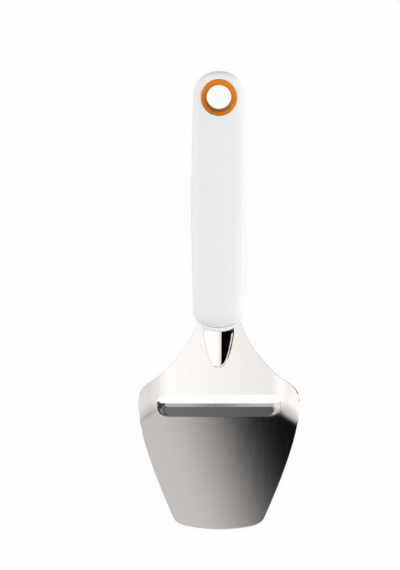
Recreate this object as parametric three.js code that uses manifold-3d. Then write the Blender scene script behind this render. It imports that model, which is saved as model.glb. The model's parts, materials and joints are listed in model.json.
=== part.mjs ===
// Cheese slicer: one stamped steel blade held in a moulded handle with a hanging ring.
// Millimetres, +Z up. X runs across the blade, +Y runs from the tip to the handle's end, the top face looks to +Z.
// Distances along the tool are measured from the blade's tip, as seen from above.

import * as THREE from "three";
import { mergeVertices } from "three/addons/utils/BufferGeometryUtils.js";
import Module from "manifold-3d";

const wasm = await Module();
wasm.setup();
const { clamp, degToRad, lerp, smoothstep } = THREE.MathUtils;

// Whole tool
const LENGTH = 221;
const FIT_GAP = 0.3;
const TILT = degToRad(5);

// Steel sheet and its bend at the slot
const SHEET = 1.2;
const BLADE_HALF = 39;
const TIP_HALF = 21.9;
const TIP_ROUND = 6;
const BEND_START = 55;
const BEND_END = 65.5;
const SHOULDER_LIFT = { slope: 0.7, from: 25, to: 33 };
const SHOULDER = { half: 32.2, at: 72.1 };
const NECK = { half: 11.2, at: 98.4 };

// Slot and pressed lip
const SLOT_HALF = 29.75;
const SLOT_LEVEL = 62.2;
const SLOT_BACK = 65.35;
const SLOT_CORNER = 2.4;
const EDGE_LINE = 61.15;
const EDGE_HALF = 25.9;
const EDGE_CORNER = 28.2;
const LIP_LINE = 55;
const LIP_CORNER = 6.25;
const LIP_DROP = 2.2;
const LIP_FILLET = 0.07;
const LIP_ROWS = [0, 0.06, 0.15, 0.38];
const LIP_POWER = 2.4;
const LIP_BEND_STEPS = 300;
const END_WALL = { start: 56.8, spread: 0.58, least: 0.1, corner: 0.35, soft: 1 };
const CREASE = 0.9;
const BEVEL = 2.05;
const EDGE_LAND = 0.15;

// Stiffening rib
const RIB_END = 78.7;
const RIB_FULL = 95.5;
const RIB_HALF = 7;
const RIB_RISE = 3.1;
const RIB_EDGE_SLOPE = 0.85;
const RIB_PLAN_POWER = 0.39;
const RIB_SKIRT_POWER = 6;
const RIB_FADE_START = 102;
const RIB_FADE_END = 110;

// Tang inside the handle
const TANG_HALF = 8;
const TANG_START = 112;
const TANG_END = 166;
const TANG_NOSE = { half: 5, run: 8 };
const LOCK_HOLES = [117, 135, 153];
const LOCK_RADIUS = 3;
const POCKET_START = 88;

// Handle, measured along its own axis from its front end
const HANDLE_FRONT = 95.9;
const GRIP_HALF = 13.35;
const GRIP_NARROWING = 1.1;
const GRIP_WIDEST = 61;
const GRIP_TAPER_RUN = 52.5;
const FRONT_BOW = 8.2;
const END_BOW = 12.3;
const END_POWER = 2.2;
const BOW_RUN = 48;
const SECTION_POWER = 3.2;
const TOP_RISE = { front: 8.7, full: 8.2, end: 5.6 };
const BELLY_DROP = { front: 6.8, full: 9.2, end: 5.4 };
const BELLY_AT = 42;
const FRONT_RUN = 10;
const FRONT_FALL = 7.5;
const END_ROUND = 2.8;
const END_LEAN = (BELLY_DROP.end - END_ROUND) * Math.sin(TILT);
const HANDLE_LENGTH = (LENGTH - HANDLE_FRONT - END_LEAN) / Math.cos(TILT);
const SKIN = 1.6;
const COLLAR = 2.2;
const BODY_STATIONS = [16, 24, 34, 45, 57, 70, 84, 98, 110];
const NOSE_SHARES = [0.28, 0.4, 0.55, 0.75, 1];
const ROUNDING_SHARES = [0.15, 0.4, 0.7, 1];
const OUTSIDE_SIDES = 32;
const INSIDE_SIDES = 24;

// Hanging ring
const RING_AT = 113.1;
const RING_OUTER = 8.7;
const RING_INNER = 5.95;
const RING_PROUD = 0.15;
const RING_ROUND = 0.7;

const STEEL = new THREE.MeshStandardMaterial({ name: "stainless_steel", color: 0xc9c7c4, metalness: 1, roughness: 0.28 });
const CORE = new THREE.MeshStandardMaterial({ name: "white_rigid_plastic", color: 0xf0f0ee, roughness: 0.35 });
const SOFT = new THREE.MeshStandardMaterial({ name: "white_soft_plastic", color: 0xe9e9e9, roughness: 0.65 });
const ORANGE = new THREE.MeshStandardMaterial({ name: "orange_plastic", color: 0xe08019, roughness: 0.4 });

// Solids

function solidFrom(geometry) {
  const plain = geometry.clone();
  plain.deleteAttribute("normal");
  plain.deleteAttribute("uv");
  const merged = mergeVertices(plain, 1e-5);
  const mesh = new wasm.Mesh({
    numProp: 3,
    vertProperties: new Float32Array(merged.attributes.position.array),
    triVerts: new Uint32Array(merged.index.array),
  });
  return new wasm.Manifold(mesh);
}

function geometryFrom(points, triangles) {
  const geometry = new THREE.BufferGeometry().setFromPoints(points);
  geometry.setIndex(triangles.flat());
  return geometry;
}

function meshFrom(solid, name, material) {
  const data = solid.getMesh();
  const geometry = new THREE.BufferGeometry();
  geometry.setAttribute("position", new THREE.BufferAttribute(new Float32Array(data.vertProperties), 3));
  geometry.setIndex(new THREE.BufferAttribute(new Uint32Array(data.triVerts), 1));
  const flat = geometry.toNonIndexed();
  flat.computeVertexNormals();
  const mesh = new THREE.Mesh(flat, material);
  mesh.name = name;
  return mesh;
}

function uprightCylinder(radius, height, y, sides) {
  const geometry = new THREE.CylinderGeometry(radius, radius, height, sides);
  geometry.rotateX(Math.PI / 2);
  geometry.translate(0, y, 0);
  return solidFrom(geometry);
}

// Where the handle sits: its axis lies in the plane of the tang.

function placeHandle(object) {
  object.position.set(0, HANDLE_FRONT, bendHeight(0, HANDLE_FRONT));
  object.rotation.x = TILT;
  object.updateMatrix();
  return object;
}

// Plan outline of the sheet: the right-hand side from the tip's corner to the end of the tang

function sideOutline() {
  const path = new THREE.Path();
  path.moveTo(TIP_HALF, TIP_ROUND);
  path.bezierCurveTo(30.5, 25, BLADE_HALF, 46.5, BLADE_HALF, 61.5);
  path.bezierCurveTo(BLADE_HALF, 67, 36.7, 69.4, SHOULDER.half, SHOULDER.at);
  path.bezierCurveTo(23.6, 77.3, 13.5, 90.4, NECK.half, NECK.at);
  path.bezierCurveTo(9.9, 103, TANG_HALF, 106, TANG_HALF, TANG_START);
  path.lineTo(TANG_HALF, TANG_END - TANG_NOSE.run);
  path.quadraticCurveTo(TANG_HALF, TANG_END, TANG_NOSE.half, TANG_END);
  return path.getPoints(60);
}

const SIDE = sideOutline();

function halfWidth(y) {
  const next = SIDE.findIndex((point) => point.y >= y - 1e-9);
  if (next === 0) {
    return SIDE[0].x;
  }
  if (next < 0) {
    return SIDE[SIDE.length - 1].x;
  }
  const before = SIDE[next - 1];
  const after = SIDE[next];
  return lerp(before.x, after.x, (y - before.y) / (after.y - before.y));
}

// The tip's outline: a shallow arc that turns into the sides through a rounded corner.

function tipOutline() {
  const path = new THREE.Path();
  path.moveTo(0, 0);
  path.bezierCurveTo(6, 0.1, 11.6, 0.8, 15.7, 1.7);
  path.bezierCurveTo(18.4, 2.4, 20.6, 3.3, TIP_HALF, TIP_ROUND);
  return path.getPoints(40);
}

const TIP = tipOutline();

function tipLine(x) {
  const reach = Math.min(Math.abs(x), TIP_HALF);
  const next = TIP.findIndex((point) => point.x >= reach - 1e-9);
  if (next <= 0) {
    return TIP[0].y;
  }
  const before = TIP[next - 1];
  const after = TIP[next];
  return lerp(before.y, after.y, (reach - before.x) / (after.x - before.x));
}

// Heights of the sheet's middle surface

function shoulderShift(x) {
  const { slope, from, to } = SHOULDER_LIFT;
  const curved = clamp(Math.abs(x) - from, 0, to - from);
  return slope * ((curved * curved) / (2 * (to - from)) + Math.max(Math.abs(x) - to, 0));
}

// Flat spatula, a curved bend, then a straight rise to the handle. Beside the slot the bend swings towards the tip.
function bendHeight(x, y) {
  const run = BEND_END - BEND_START;
  const along = y + shoulderShift(x);
  const bent = clamp(along - BEND_START, 0, run);
  return Math.tan(TILT) * ((bent * bent) / (2 * run) + Math.max(along - BEND_END, 0));
}

// The rib is a dome on a blunt plan, with a skirt that keeps its edge steep where it is narrow.
function ribHeight(x, y) {
  const along = clamp((y - RIB_END) / (RIB_FULL - RIB_END), 0, 1);
  if (along === 0) {
    return 0;
  }
  const half = RIB_HALF * Math.pow(along, RIB_PLAN_POWER);
  const across = Math.min(Math.abs(x) / half, 1);
  const crown = RIB_RISE * Math.pow(half / RIB_HALF, 2);
  const spareSlope = Math.max(RIB_EDGE_SLOPE - (2 * crown) / half, 0);
  const skirt = (spareSlope * half) / RIB_SKIRT_POWER;
  const fade = 1 - smoothstep(y, RIB_FADE_START, RIB_FADE_END);
  return (crown * (1 - across * across) + skirt * (1 - Math.pow(across, RIB_SKIRT_POWER))) * fade;
}

// Lines of the slot, across the blade: the lip's bend, the cutting edge and the back of the opening

function arch(x, start, run, power) {
  const share = clamp((Math.abs(x) - start) / run, 0, 1);
  return Math.pow(1 - Math.pow(share, power), 1 / power);
}

function lipLine(x) {
  return SLOT_LEVEL - (SLOT_LEVEL - LIP_LINE) * arch(x, SLOT_HALF - LIP_CORNER, LIP_CORNER, LIP_POWER);
}

function edgeLine(x) {
  const share = clamp((Math.abs(x) - EDGE_CORNER) / (SLOT_HALF - EDGE_CORNER), 0, 1);
  return lerp(EDGE_LINE, SLOT_LEVEL, share);
}

function slotBack(x) {
  return SLOT_LEVEL + (SLOT_BACK - SLOT_LEVEL) * arch(x, SLOT_HALF - SLOT_CORNER, SLOT_CORNER, 2);
}

function grindShare(x) {
  return smoothstep(SLOT_HALF - Math.abs(x), 0, SLOT_HALF - EDGE_HALF);
}

// The rounded corner of the lip's bend, on the right-hand side
const LIP_BEND = Array.from({ length: LIP_BEND_STEPS + 1 }, (_, step) => {
  const turn = (step / LIP_BEND_STEPS) * (Math.PI / 2);
  const across = Math.pow(Math.sin(turn), 2 / LIP_POWER);
  const ahead = Math.pow(Math.max(Math.cos(turn), 0), 2 / LIP_POWER);
  return {
    x: SLOT_HALF - LIP_CORNER + LIP_CORNER * across,
    y: SLOT_LEVEL - (SLOT_LEVEL - LIP_LINE) * ahead,
  };
});

function distanceFromBend(x, y) {
  const reach = Math.abs(x);
  if (reach < SLOT_HALF - LIP_CORNER) {
    return y - LIP_LINE;
  }
  return Math.min(...LIP_BEND.map((point) => Math.hypot(point.x - reach, point.y - y)));
}

// Width of the wall at each end of the lip. It widens from the bend towards the slot.
function endWallWidth(x, y) {
  const cornerShare = smoothstep(Math.abs(x), SLOT_HALF - LIP_CORNER, SLOT_HALF - LIP_CORNER / 2);
  const beyond = y - END_WALL.start;
  const widening = (END_WALL.spread * (beyond + Math.hypot(beyond, END_WALL.soft))) / 2;
  return lerp(END_WALL.least, END_WALL.corner + widening, cornerShare);
}

// The lip sinks in an even slope to its edge. At its ends the slope meets the wall in a soft crease.
function lipDepth(x, y) {
  const slope = (LIP_DROP * (y - LIP_LINE)) / (EDGE_LINE - LIP_LINE);
  const across = distanceFromBend(x, y) / endWallWidth(x, y);
  const soft = Math.pow(Math.max(CREASE - Math.abs(1 - across), 0), 2) / (4 * CREASE);
  const sunk = Math.max(slope * (Math.min(across, 1) - soft), 0);
  return Math.hypot(sunk, LIP_FILLET) - LIP_FILLET;
}

// A sheet is a middle surface of shared points that is thickened to both sides.

class Sheet {
  constructor() {
    this.points = [];
    this.trims = [];
    this.faces = [];
    this.known = new Map();
  }

  vertex(x, y, sink = 0, trim = 0) {
    const key = `${x.toFixed(4)} ${y.toFixed(4)}`;
    if (!this.known.has(key)) {
      this.known.set(key, this.points.length);
      this.points.push(new THREE.Vector3(x, y, bendHeight(x, y) + ribHeight(x, y) - sink));
      this.trims.push(trim);
    }
    return this.known.get(key);
  }

  // Faces between two rows of vertices that run the same way, the second row nearer to the handle.
  strip(near, far) {
    for (let j = 0; j + 1 < near.length; j += 1) {
      this.face(near[j], near[j + 1], far[j + 1]);
      this.face(near[j], far[j + 1], far[j]);
    }
  }

  face(a, b, c) {
    if (a !== b && b !== c && c !== a) {
      this.faces.push([a, b, c]);
    }
  }

  // The closed solid: a trim lowers the top surface at a point, as grinding does.
  thicken(thickness) {
    const surface = geometryFrom(this.points, this.faces);
    surface.computeVertexNormals();
    const normals = surface.attributes.normal;
    const count = this.points.length;
    const top = [];
    const bottom = [];
    for (let i = 0; i < count; i += 1) {
      const normal = new THREE.Vector3().fromBufferAttribute(normals, i);
      top.push(this.points[i].clone().addScaledVector(normal, thickness / 2 - this.trims[i]));
      bottom.push(this.points[i].clone().addScaledVector(normal, -thickness / 2));
    }
    const under = this.faces.map(([a, b, c]) => [a + count, c + count, b + count]);
    const rim = this.rimEdges().flatMap(([a, b]) => [
      [b, a, a + count],
      [b, a + count, b + count],
    ]);
    return solidFrom(geometryFrom([...top, ...bottom], [...this.faces, ...under, ...rim]));
  }

  rimEdges() {
    const edges = new Map();
    for (const [a, b, c] of this.faces) {
      for (const edge of [[a, b], [b, c], [c, a]]) {
        edges.set(edge.join(" "), edge);
      }
    }
    return [...edges.values()].filter(([a, b]) => !edges.has(`${b} ${a}`));
  }
}

function stations(...legs) {
  const list = [legs[0][0]];
  for (const [from, to, steps] of legs) {
    for (let i = 1; i <= steps; i += 1) {
      list.push(lerp(from, to, i / steps));
    }
  }
  return list;
}

// Columns across the blade, as shares of its half width: even to the sides, closer round the slot's corners.

function bladeColumns() {
  const corner = SLOT_HALF - LIP_CORNER;
  const right = stations([0, RIB_HALF, 4], [RIB_HALF, corner, 6]);
  for (let i = 1; i <= 6; i += 1) {
    right.push(corner + LIP_CORNER * Math.sin((i * Math.PI) / 12));
  }
  right.push(...stations([SLOT_HALF, BLADE_HALF, 4]).slice(1));
  const left = right.slice(1).reverse().map((x) => -x);
  return [...left, ...right].map((x) => x / BLADE_HALF);
}

// Blade

function spatula(sheet, columns) {
  const tipRows = [TIP_ROUND, 3 * TIP_ROUND, 3];
  const flatRows = [3 * TIP_ROUND, BEND_START - 3, 3];
  const bendRows = [BEND_START - 3, SLOT_LEVEL, 5];
  const rows = stations(tipRows, flatRows, bendRows).map((y) => {
    const tipFade = 1 - smoothstep(y, TIP_ROUND, 4 * TIP_ROUND);
    const slotFade = clamp(1 - (SLOT_LEVEL - y) / (3 * (SLOT_LEVEL - LIP_LINE)), 0, 1);
    return columns.map((share) => {
      const x = share * halfWidth(y);
      const tipShift = (tipLine(share * TIP_HALF) - TIP_ROUND) * tipFade;
      const slotShift = (lipLine(share * halfWidth(SLOT_LEVEL)) - SLOT_LEVEL) * slotFade;
      return sheet.vertex(x, y + tipShift + slotShift);
    });
  });
  rows.slice(1).forEach((row, i) => sheet.strip(rows[i], row));
}

function pressedLip(sheet, columns) {
  const inside = columns.filter((share) => Math.abs(share * BLADE_HALF) <= SLOT_HALF + 1e-6);
  const bevelStart = 1 - BEVEL / (EDGE_LINE - LIP_LINE);
  const rows = [...LIP_ROWS, bevelStart, 1].map((share) =>
    inside.map((column) => {
      const x = column * halfWidth(SLOT_LEVEL);
      const y = lerp(lipLine(x), edgeLine(x), share);
      const trim = share === 1 ? (SHEET - EDGE_LAND) * grindShare(x) : 0;
      return sheet.vertex(x, y, lipDepth(x, y), trim);
    }),
  );
  rows.slice(1).forEach((row, i) => sheet.strip(rows[i], row));
}

function tangRows() {
  return [[RIB_FADE_END, TANG_END - TANG_NOSE.run, 1], [TANG_END - TANG_NOSE.run, TANG_END, 4]];
}

function neckAndTang(sheet, columns) {
  const ribNose = RIB_END + 0.3 * (RIB_FULL - RIB_END);
  const neckRows = [[SLOT_LEVEL, SHOULDER.at, 4], [SHOULDER.at, RIB_END, 2]];
  const ribRows = [[RIB_END, ribNose, 4], [ribNose, RIB_FADE_END, 9]];
  const rows = stations(...neckRows, ...ribRows, ...tangRows()).map((y) => {
    const slotFade = 1 - smoothstep(y, SLOT_LEVEL, SHOULDER.at);
    return columns.map((share) => {
      const slotShift = (slotBack(share * halfWidth(SLOT_LEVEL)) - SLOT_LEVEL) * slotFade;
      return sheet.vertex(share * halfWidth(y), y + slotShift);
    });
  });
  rows.slice(1).forEach((row, i) => sheet.strip(rows[i], row));
}

function lockPlugs(radius) {
  const plugs = LOCK_HOLES.map((y) => uprightCylinder(radius, 4 * SHEET, (y - HANDLE_FRONT) / Math.cos(TILT), 24));
  return wasm.Manifold.union(plugs);
}

function blade() {
  const sheet = new Sheet();
  const columns = bladeColumns();
  spatula(sheet, columns);
  pressedLip(sheet, columns);
  neckAndTang(sheet, columns);
  const holes = lockPlugs(LOCK_RADIUS).transform(placeHandle(new THREE.Group()).matrix.elements);
  return meshFrom(sheet.thicken(SHEET).subtract(holes), "blade", STEEL);
}

// Handle: rounded sections strung along its axis, which bow round its front and its end in plan.
// An inset makes the smaller forms that lie inside it.

function frontShare(y) {
  return clamp(1 - y / BOW_RUN, 0, 1);
}

function endShare(y, inset) {
  return clamp(1 - (HANDLE_LENGTH - inset - y) / BOW_RUN, 0, 1);
}

function gripHalf(y, inset) {
  const side = y + FRONT_BOW * frontShare(y) - (END_BOW - inset) * endShare(y, inset);
  const taper = (side - GRIP_WIDEST) / GRIP_TAPER_RUN;
  return GRIP_HALF - GRIP_NARROWING * taper * taper - inset;
}

function rounding(distance, radius) {
  const share = clamp(1 - distance / radius, 0, 1);
  return radius * (1 - Math.sqrt(1 - share * share));
}

// Height or depth of a section from the axis. The front falls in a rounded nose as far as the collar.
function gripDepth(y, sizes, inset) {
  const rising = lerp(sizes.front, sizes.full, smoothstep(y, 0, BELLY_AT));
  const full = lerp(rising, sizes.end, smoothstep(y, BELLY_AT, RING_AT));
  const nose = (rounding(Math.max(y, COLLAR), FRONT_RUN) * FRONT_FALL) / FRONT_RUN;
  return full - inset - nose - rounding(HANDLE_LENGTH - inset - y, END_ROUND);
}

function gripSection(y, inset, sides) {
  const half = gripHalf(y, inset);
  const rise = gripDepth(y, TOP_RISE, inset);
  const drop = gripDepth(y, BELLY_DROP, inset);
  const points = [];
  for (let k = 0; k < sides; k += 1) {
    const angle = (2 * Math.PI * k) / sides;
    const across = Math.sign(Math.cos(angle)) * Math.pow(Math.abs(Math.cos(angle)), 2 / SECTION_POWER);
    const up = Math.sign(Math.sin(angle)) * Math.pow(Math.abs(Math.sin(angle)), 2 / SECTION_POWER);
    const frontBow = FRONT_BOW * frontShare(y) * (1 - Math.sqrt(1 - across * across));
    const endBow = 1 - Math.pow(1 - Math.pow(Math.abs(across), END_POWER), 1 / END_POWER);
    const bowed = y + frontBow - (END_BOW - inset) * endShare(y, inset) * endBow;
    points.push(new THREE.Vector3(half * across, bowed, up * (up > 0 ? rise : drop)));
  }
  return points;
}

function gripStations(from, to) {
  const front = NOSE_SHARES.map((share) => share * FRONT_RUN);
  const end = ROUNDING_SHARES.map((share) => to - share * END_ROUND);
  const between = [...front, ...BODY_STATIONS, ...end].filter((y) => y > from + 0.1 && y < to - 0.1);
  return [from, ...between.sort((a, b) => a - b), to];
}

// Closes a section with a strip from one side to the other, between its upper and its lower points.
function endStrip(first, sides) {
  const triangles = [];
  for (let k = 0; k < sides / 2; k += 1) {
    const upper = [first + k, first + k + 1];
    const lower = [first + ((sides - k) % sides), first + sides - k - 1];
    if (upper[1] !== lower[1]) {
      triangles.push([upper[0], upper[1], lower[1]]);
    }
    if (upper[0] !== lower[0]) {
      triangles.push([upper[0], lower[1], lower[0]]);
    }
  }
  return triangles;
}

function gripForm(inset, from, to, sides) {
  const rings = gripStations(from, to).map((y) => gripSection(y, inset, sides));
  const points = rings.flat();
  const triangles = [];
  for (let i = 0; i + 1 < rings.length; i += 1) {
    for (let k = 0; k < sides; k += 1) {
      const a = i * sides + k;
      const b = i * sides + ((k + 1) % sides);
      triangles.push([a, a + sides, b], [b, a + sides, b + sides]);
    }
  }
  const back = endStrip(points.length - sides, sides).map(([a, b, c]) => [a, c, b]);
  triangles.push(...endStrip(0, sides), ...back);
  return solidFrom(geometryFrom(points, triangles));
}

// The space for neck and tang, with the fit gap all round

function tangPocket() {
  const sheet = new Sheet();
  const columns = stations([-1, 1, 12]);
  const rib = [POCKET_START, RIB_FADE_END, 9];
  const rows = stations(rib, ...tangRows(), [TANG_END, TANG_END + FIT_GAP, 1]).map((y) =>
    columns.map((share) => sheet.vertex(share * (halfWidth(y) + FIT_GAP), y)),
  );
  rows.slice(1).forEach((row, i) => sheet.strip(rows[i], row));
  const pocket = sheet.thicken(SHEET + 2 * FIT_GAP);
  const home = placeHandle(new THREE.Group()).matrix.clone().invert();
  return pocket.transform(home.elements);
}

function handleCore(pocket, ringBore) {
  const inset = SKIN + FIT_GAP;
  const collar = gripForm(0, 0, COLLAR, OUTSIDE_SIDES);
  const body = gripForm(inset, COLLAR / 2, HANDLE_LENGTH - inset, INSIDE_SIDES).add(collar);
  const hollow = pocket.subtract(lockPlugs(LOCK_RADIUS - FIT_GAP));
  return meshFrom(body.subtract(hollow).subtract(ringBore), "handle_core", CORE);
}

function softGrip(pocket, ringBore) {
  const outside = gripForm(0, COLLAR + FIT_GAP, HANDLE_LENGTH, OUTSIDE_SIDES);
  const inside = gripForm(SKIN, COLLAR / 2, HANDLE_LENGTH - SKIN, INSIDE_SIDES);
  return meshFrom(outside.subtract(inside).subtract(pocket).subtract(ringBore), "soft_grip", SOFT);
}

function hangingRing() {
  const top = gripDepth(RING_AT, TOP_RISE, 0) + RING_PROUD;
  const bottom = -gripDepth(RING_AT, BELLY_DROP, 0) - RING_PROUD;
  const profile = [];
  const corner = (x, z, fromAngle) => {
    for (let i = 0; i <= 3; i += 1) {
      const angle = fromAngle + (i / 3) * (Math.PI / 2);
      profile.push(new THREE.Vector2(x + RING_ROUND * Math.cos(angle), z + RING_ROUND * Math.sin(angle)));
    }
  };
  corner(RING_INNER + RING_ROUND, bottom + RING_ROUND, Math.PI);
  corner(RING_OUTER - RING_ROUND, bottom + RING_ROUND, 1.5 * Math.PI);
  corner(RING_OUTER - RING_ROUND, top - RING_ROUND, 0);
  corner(RING_INNER + RING_ROUND, top - RING_ROUND, 0.5 * Math.PI);
  profile.push(profile[0].clone());
  const geometry = new THREE.LatheGeometry(profile, 32);
  geometry.rotateX(Math.PI / 2);
  geometry.translate(0, RING_AT, 0);
  const mesh = new THREE.Mesh(geometry, ORANGE);
  mesh.name = "hanging_ring";
  return mesh;
}

function handle() {
  const group = placeHandle(new THREE.Group());
  group.name = "handle";
  const pocket = tangPocket();
  const ringBore = uprightCylinder(RING_OUTER + FIT_GAP, 40, RING_AT, 48);
  group.add(handleCore(pocket, ringBore), softGrip(pocket, ringBore), hangingRing());
  return group;
}

// The tool is set down with its lowest points on the ground and the middle of its box over the origin.

function slicer() {
  const tool = new THREE.Group();
  tool.name = "slicer";
  tool.add(blade(), handle());
  const box = new THREE.Box3().setFromObject(tool, true);
  tool.position.set(0, -(box.min.y + box.max.y) / 2, -box.min.z);
  const root = new THREE.Group();
  root.name = "cheese_slicer";
  root.add(tool);
  root.updateMatrixWorld(true);
  return root;
}

export default slicer();
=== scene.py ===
# %% [markdown]
# # A cheese slicer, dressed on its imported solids
#
# The slicer is one stamped sheet of stainless steel in a white handle with an orange ring at its end. The
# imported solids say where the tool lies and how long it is. This lesson makes a finer copy of each piece in
# the same place: a blank that a node tree presses into the blade, a handle made of sections, and a turned
# ring. The solids stay in the file for collision, hidden.

# %% Load the frame
import json
import math

import bpy
import numpy as np
from mathutils import Matrix, Vector


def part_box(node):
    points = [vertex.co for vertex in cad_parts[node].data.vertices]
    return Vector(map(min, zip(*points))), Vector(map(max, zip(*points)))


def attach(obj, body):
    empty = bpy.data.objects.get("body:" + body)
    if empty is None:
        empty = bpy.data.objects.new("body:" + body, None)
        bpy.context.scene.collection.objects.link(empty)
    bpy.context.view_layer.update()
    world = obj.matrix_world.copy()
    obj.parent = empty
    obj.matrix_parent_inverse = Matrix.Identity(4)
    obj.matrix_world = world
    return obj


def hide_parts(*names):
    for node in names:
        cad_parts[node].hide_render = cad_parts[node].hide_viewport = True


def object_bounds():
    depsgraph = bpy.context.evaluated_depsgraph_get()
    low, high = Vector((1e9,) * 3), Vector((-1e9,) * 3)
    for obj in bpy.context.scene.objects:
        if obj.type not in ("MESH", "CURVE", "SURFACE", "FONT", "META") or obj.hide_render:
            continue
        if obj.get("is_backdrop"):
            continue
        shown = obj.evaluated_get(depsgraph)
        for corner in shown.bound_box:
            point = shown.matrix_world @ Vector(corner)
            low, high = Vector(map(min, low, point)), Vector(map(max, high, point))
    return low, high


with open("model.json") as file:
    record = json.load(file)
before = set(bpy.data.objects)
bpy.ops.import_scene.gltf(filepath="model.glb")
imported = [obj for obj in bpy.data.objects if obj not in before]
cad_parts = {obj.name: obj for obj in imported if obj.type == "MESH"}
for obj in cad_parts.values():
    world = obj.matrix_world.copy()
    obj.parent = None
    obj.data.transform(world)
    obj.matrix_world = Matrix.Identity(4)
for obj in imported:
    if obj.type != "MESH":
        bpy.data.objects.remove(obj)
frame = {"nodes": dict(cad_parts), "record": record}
cad_low, cad_high = (corner.copy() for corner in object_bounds())
scene = bpy.context.scene
scene.view_settings.view_transform = "Standard"
MM = 0.001
print("solids:", sorted(frame["nodes"]), "box in mm:", [round(side / MM, 2) for side in cad_high - cad_low])

# %% [markdown]
# Sizes are written in millimetres and turned into metres where a mesh is made. Along the tool they are
# measured from the blade's tip, and heights from the middle of the flat spatula's sheet. The record says
# how high the spatula's underside lies, so the tip and that height carry every piece to its place.

# %% Where the tool lies
SHEET = 1.2

tip_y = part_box("blade")[0].y
mounts = {mount["name"]: mount for mount in frame["record"]["mounts"]}
sheet_z = mounts["spatula_underside"]["pos_m"][2] + SHEET * MM / 2
tool_place = Matrix.Translation((0, tip_y, sheet_z))
print("tip at y", round(tip_y, 5), "middle of the sheet at z", round(sheet_z, 6))

# %% [markdown]
# The photograph looks straight down on the slicer through a long lens. A camera three metres up gives the
# same nearly parallel view: its lens shows 275 mm of the table in the picture's height, and it stands over
# the middle of the picture.

# %% Camera
VIEW_HEIGHT = 0.275
CAMERA_RISE = 3.0
CAMERA_OVER = (-0.0091, 0.0077)
SENSOR_HEIGHT = 36
FAR_CLIP = 20

camera_data = bpy.data.cameras.new("camera")
camera_data.sensor_fit = "VERTICAL"
camera_data.sensor_height = SENSOR_HEIGHT
camera_data.lens = SENSOR_HEIGHT * (CAMERA_RISE - sheet_z) / VIEW_HEIGHT
camera_data.clip_end = FAR_CLIP
camera = bpy.data.objects.new("camera", camera_data)
camera.location = (*CAMERA_OVER, CAMERA_RISE)
scene.collection.objects.link(camera)
scene.camera = camera
print("lens", round(camera_data.lens, 1), "mm")

# %% [markdown]
# Node trees are easier to read in a script when one call makes a node, sets it and joins its inputs. The
# same helpers serve shader trees and geometry trees.

# %% Node helpers


def feed(tree, socket, value):
    """Joins a socket to another one, or gives it a plain value."""
    if isinstance(value, bpy.types.NodeSocket):
        tree.links.new(value, socket)
    elif value is not None:
        socket.default_value = value


def node(tree, kind, *inputs, **settings):
    """Makes a node, sets its options, and feeds its inputs in order."""
    made = tree.nodes.new(kind)
    for name, value in settings.items():
        setattr(made, name, value)
    for socket, value in zip(made.inputs, inputs):
        feed(tree, socket, value)
    return made


def calc(tree, operation, *inputs):
    return node(tree, "ShaderNodeMath", *inputs, operation=operation).outputs[0]


def vector_calc(tree, operation, *inputs):
    return node(tree, "ShaderNodeVectorMath", *inputs, operation=operation).outputs


def remap(tree, value, low, high, new_low, new_high, kind="LINEAR"):
    made = node(tree, "ShaderNodeMapRange", value, low, high, new_low, new_high, interpolation_type=kind)
    return made.outputs[0]


def mix(tree, kind, factor, a, b):
    """A mix of two numbers (FLOAT) or two colours (RGBA)."""
    made = node(tree, "ShaderNodeMix", data_type=kind)
    for name, value in (("Factor", factor), ("A", a), ("B", b)):
        feed(tree, made.inputs[name], value)
    return made.outputs["Result"]


def coordinates(tree, kind="Object"):
    """X, Y and Z of a shaded point in its object's frame. Generated is the direction in the world's tree."""
    return node(tree, "ShaderNodeSeparateXYZ", node(tree, "ShaderNodeTexCoord").outputs[kind]).outputs


print("node helpers ready")

# %% [markdown]
# A piece is a list of points and faces, and one call turns it into an object at the origin. Settling a
# piece keeps what its modifiers made as a plain mesh and takes the modifiers off.

# %% Mesh helpers


def mesh_object(name, points, faces, material=None):
    """A smooth object from points in metres and faces."""
    mesh = bpy.data.meshes.new(name)
    mesh.from_pydata([tuple(point) for point in points], [], [list(face) for face in faces])
    mesh.shade_smooth()
    if material is not None:
        mesh.materials.append(material)
    made = bpy.data.objects.new(name, mesh)
    scene.collection.objects.link(made)
    return made


def settle(piece):
    """Turns a piece with modifiers into a plain mesh."""
    graph = bpy.context.evaluated_depsgraph_get()
    mesh = bpy.data.meshes.new_from_object(piece.evaluated_get(graph), depsgraph=graph)
    piece.modifiers.clear()
    piece.data = mesh


def combine(piece, other, operation):
    """Joins two closed pieces, or cuts the second one out of the first."""
    modifier = piece.modifiers.new(operation.lower(), "BOOLEAN")
    modifier.operation = operation
    modifier.solver = "EXACT"
    modifier.object = other
    settle(piece)
    bpy.data.objects.remove(other)


def crisp(piece, degrees):
    """Smooth shading that breaks at edges sharper than an angle. Large faces stay flat, and bevels turn."""
    piece.data.shade_smooth()
    piece.data.set_sharp_from_angle(angle=math.radians(degrees))
    weighted = piece.modifiers.new("weighted normals", "WEIGHTED_NORMAL")
    weighted.keep_sharp = True
    settle(piece)


print("mesh helpers ready")

# %% [markdown]
# The studio. A white dome lights everything softly, as in a light tent that is open in front and behind, so
# that the handle's two ends are a little darker than its top. A soft lamp stands low on each side. The floor
# is white to the camera and to mirrors, less a small share that is left to real light, so that the slicer's
# faint shadow stays on it.

# %% World, floor and lamps
WHITE = (1.0, 1.0, 1.0, 1.0)
DOME = 1.38
DOME_FALL = 2.0
FLOOR_SIZE = 6.0
FLOOR_GLOW = 0.9
FLOOR_SHADE = (0.1, 0.1, 0.1, 1.0)
FLOOR_PAPER = (0.6, 0.6, 0.6, 1.0)
ONE_FACE = [(0, 1, 2, 3)]
LAMPS = (("right lamp", 1.0, 4.0), ("left lamp", -1.0, 2.1))
LAMP_Y = 0.03
LAMP_HEIGHT = 0.22
LAMP_SIZE = 0.4

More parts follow.
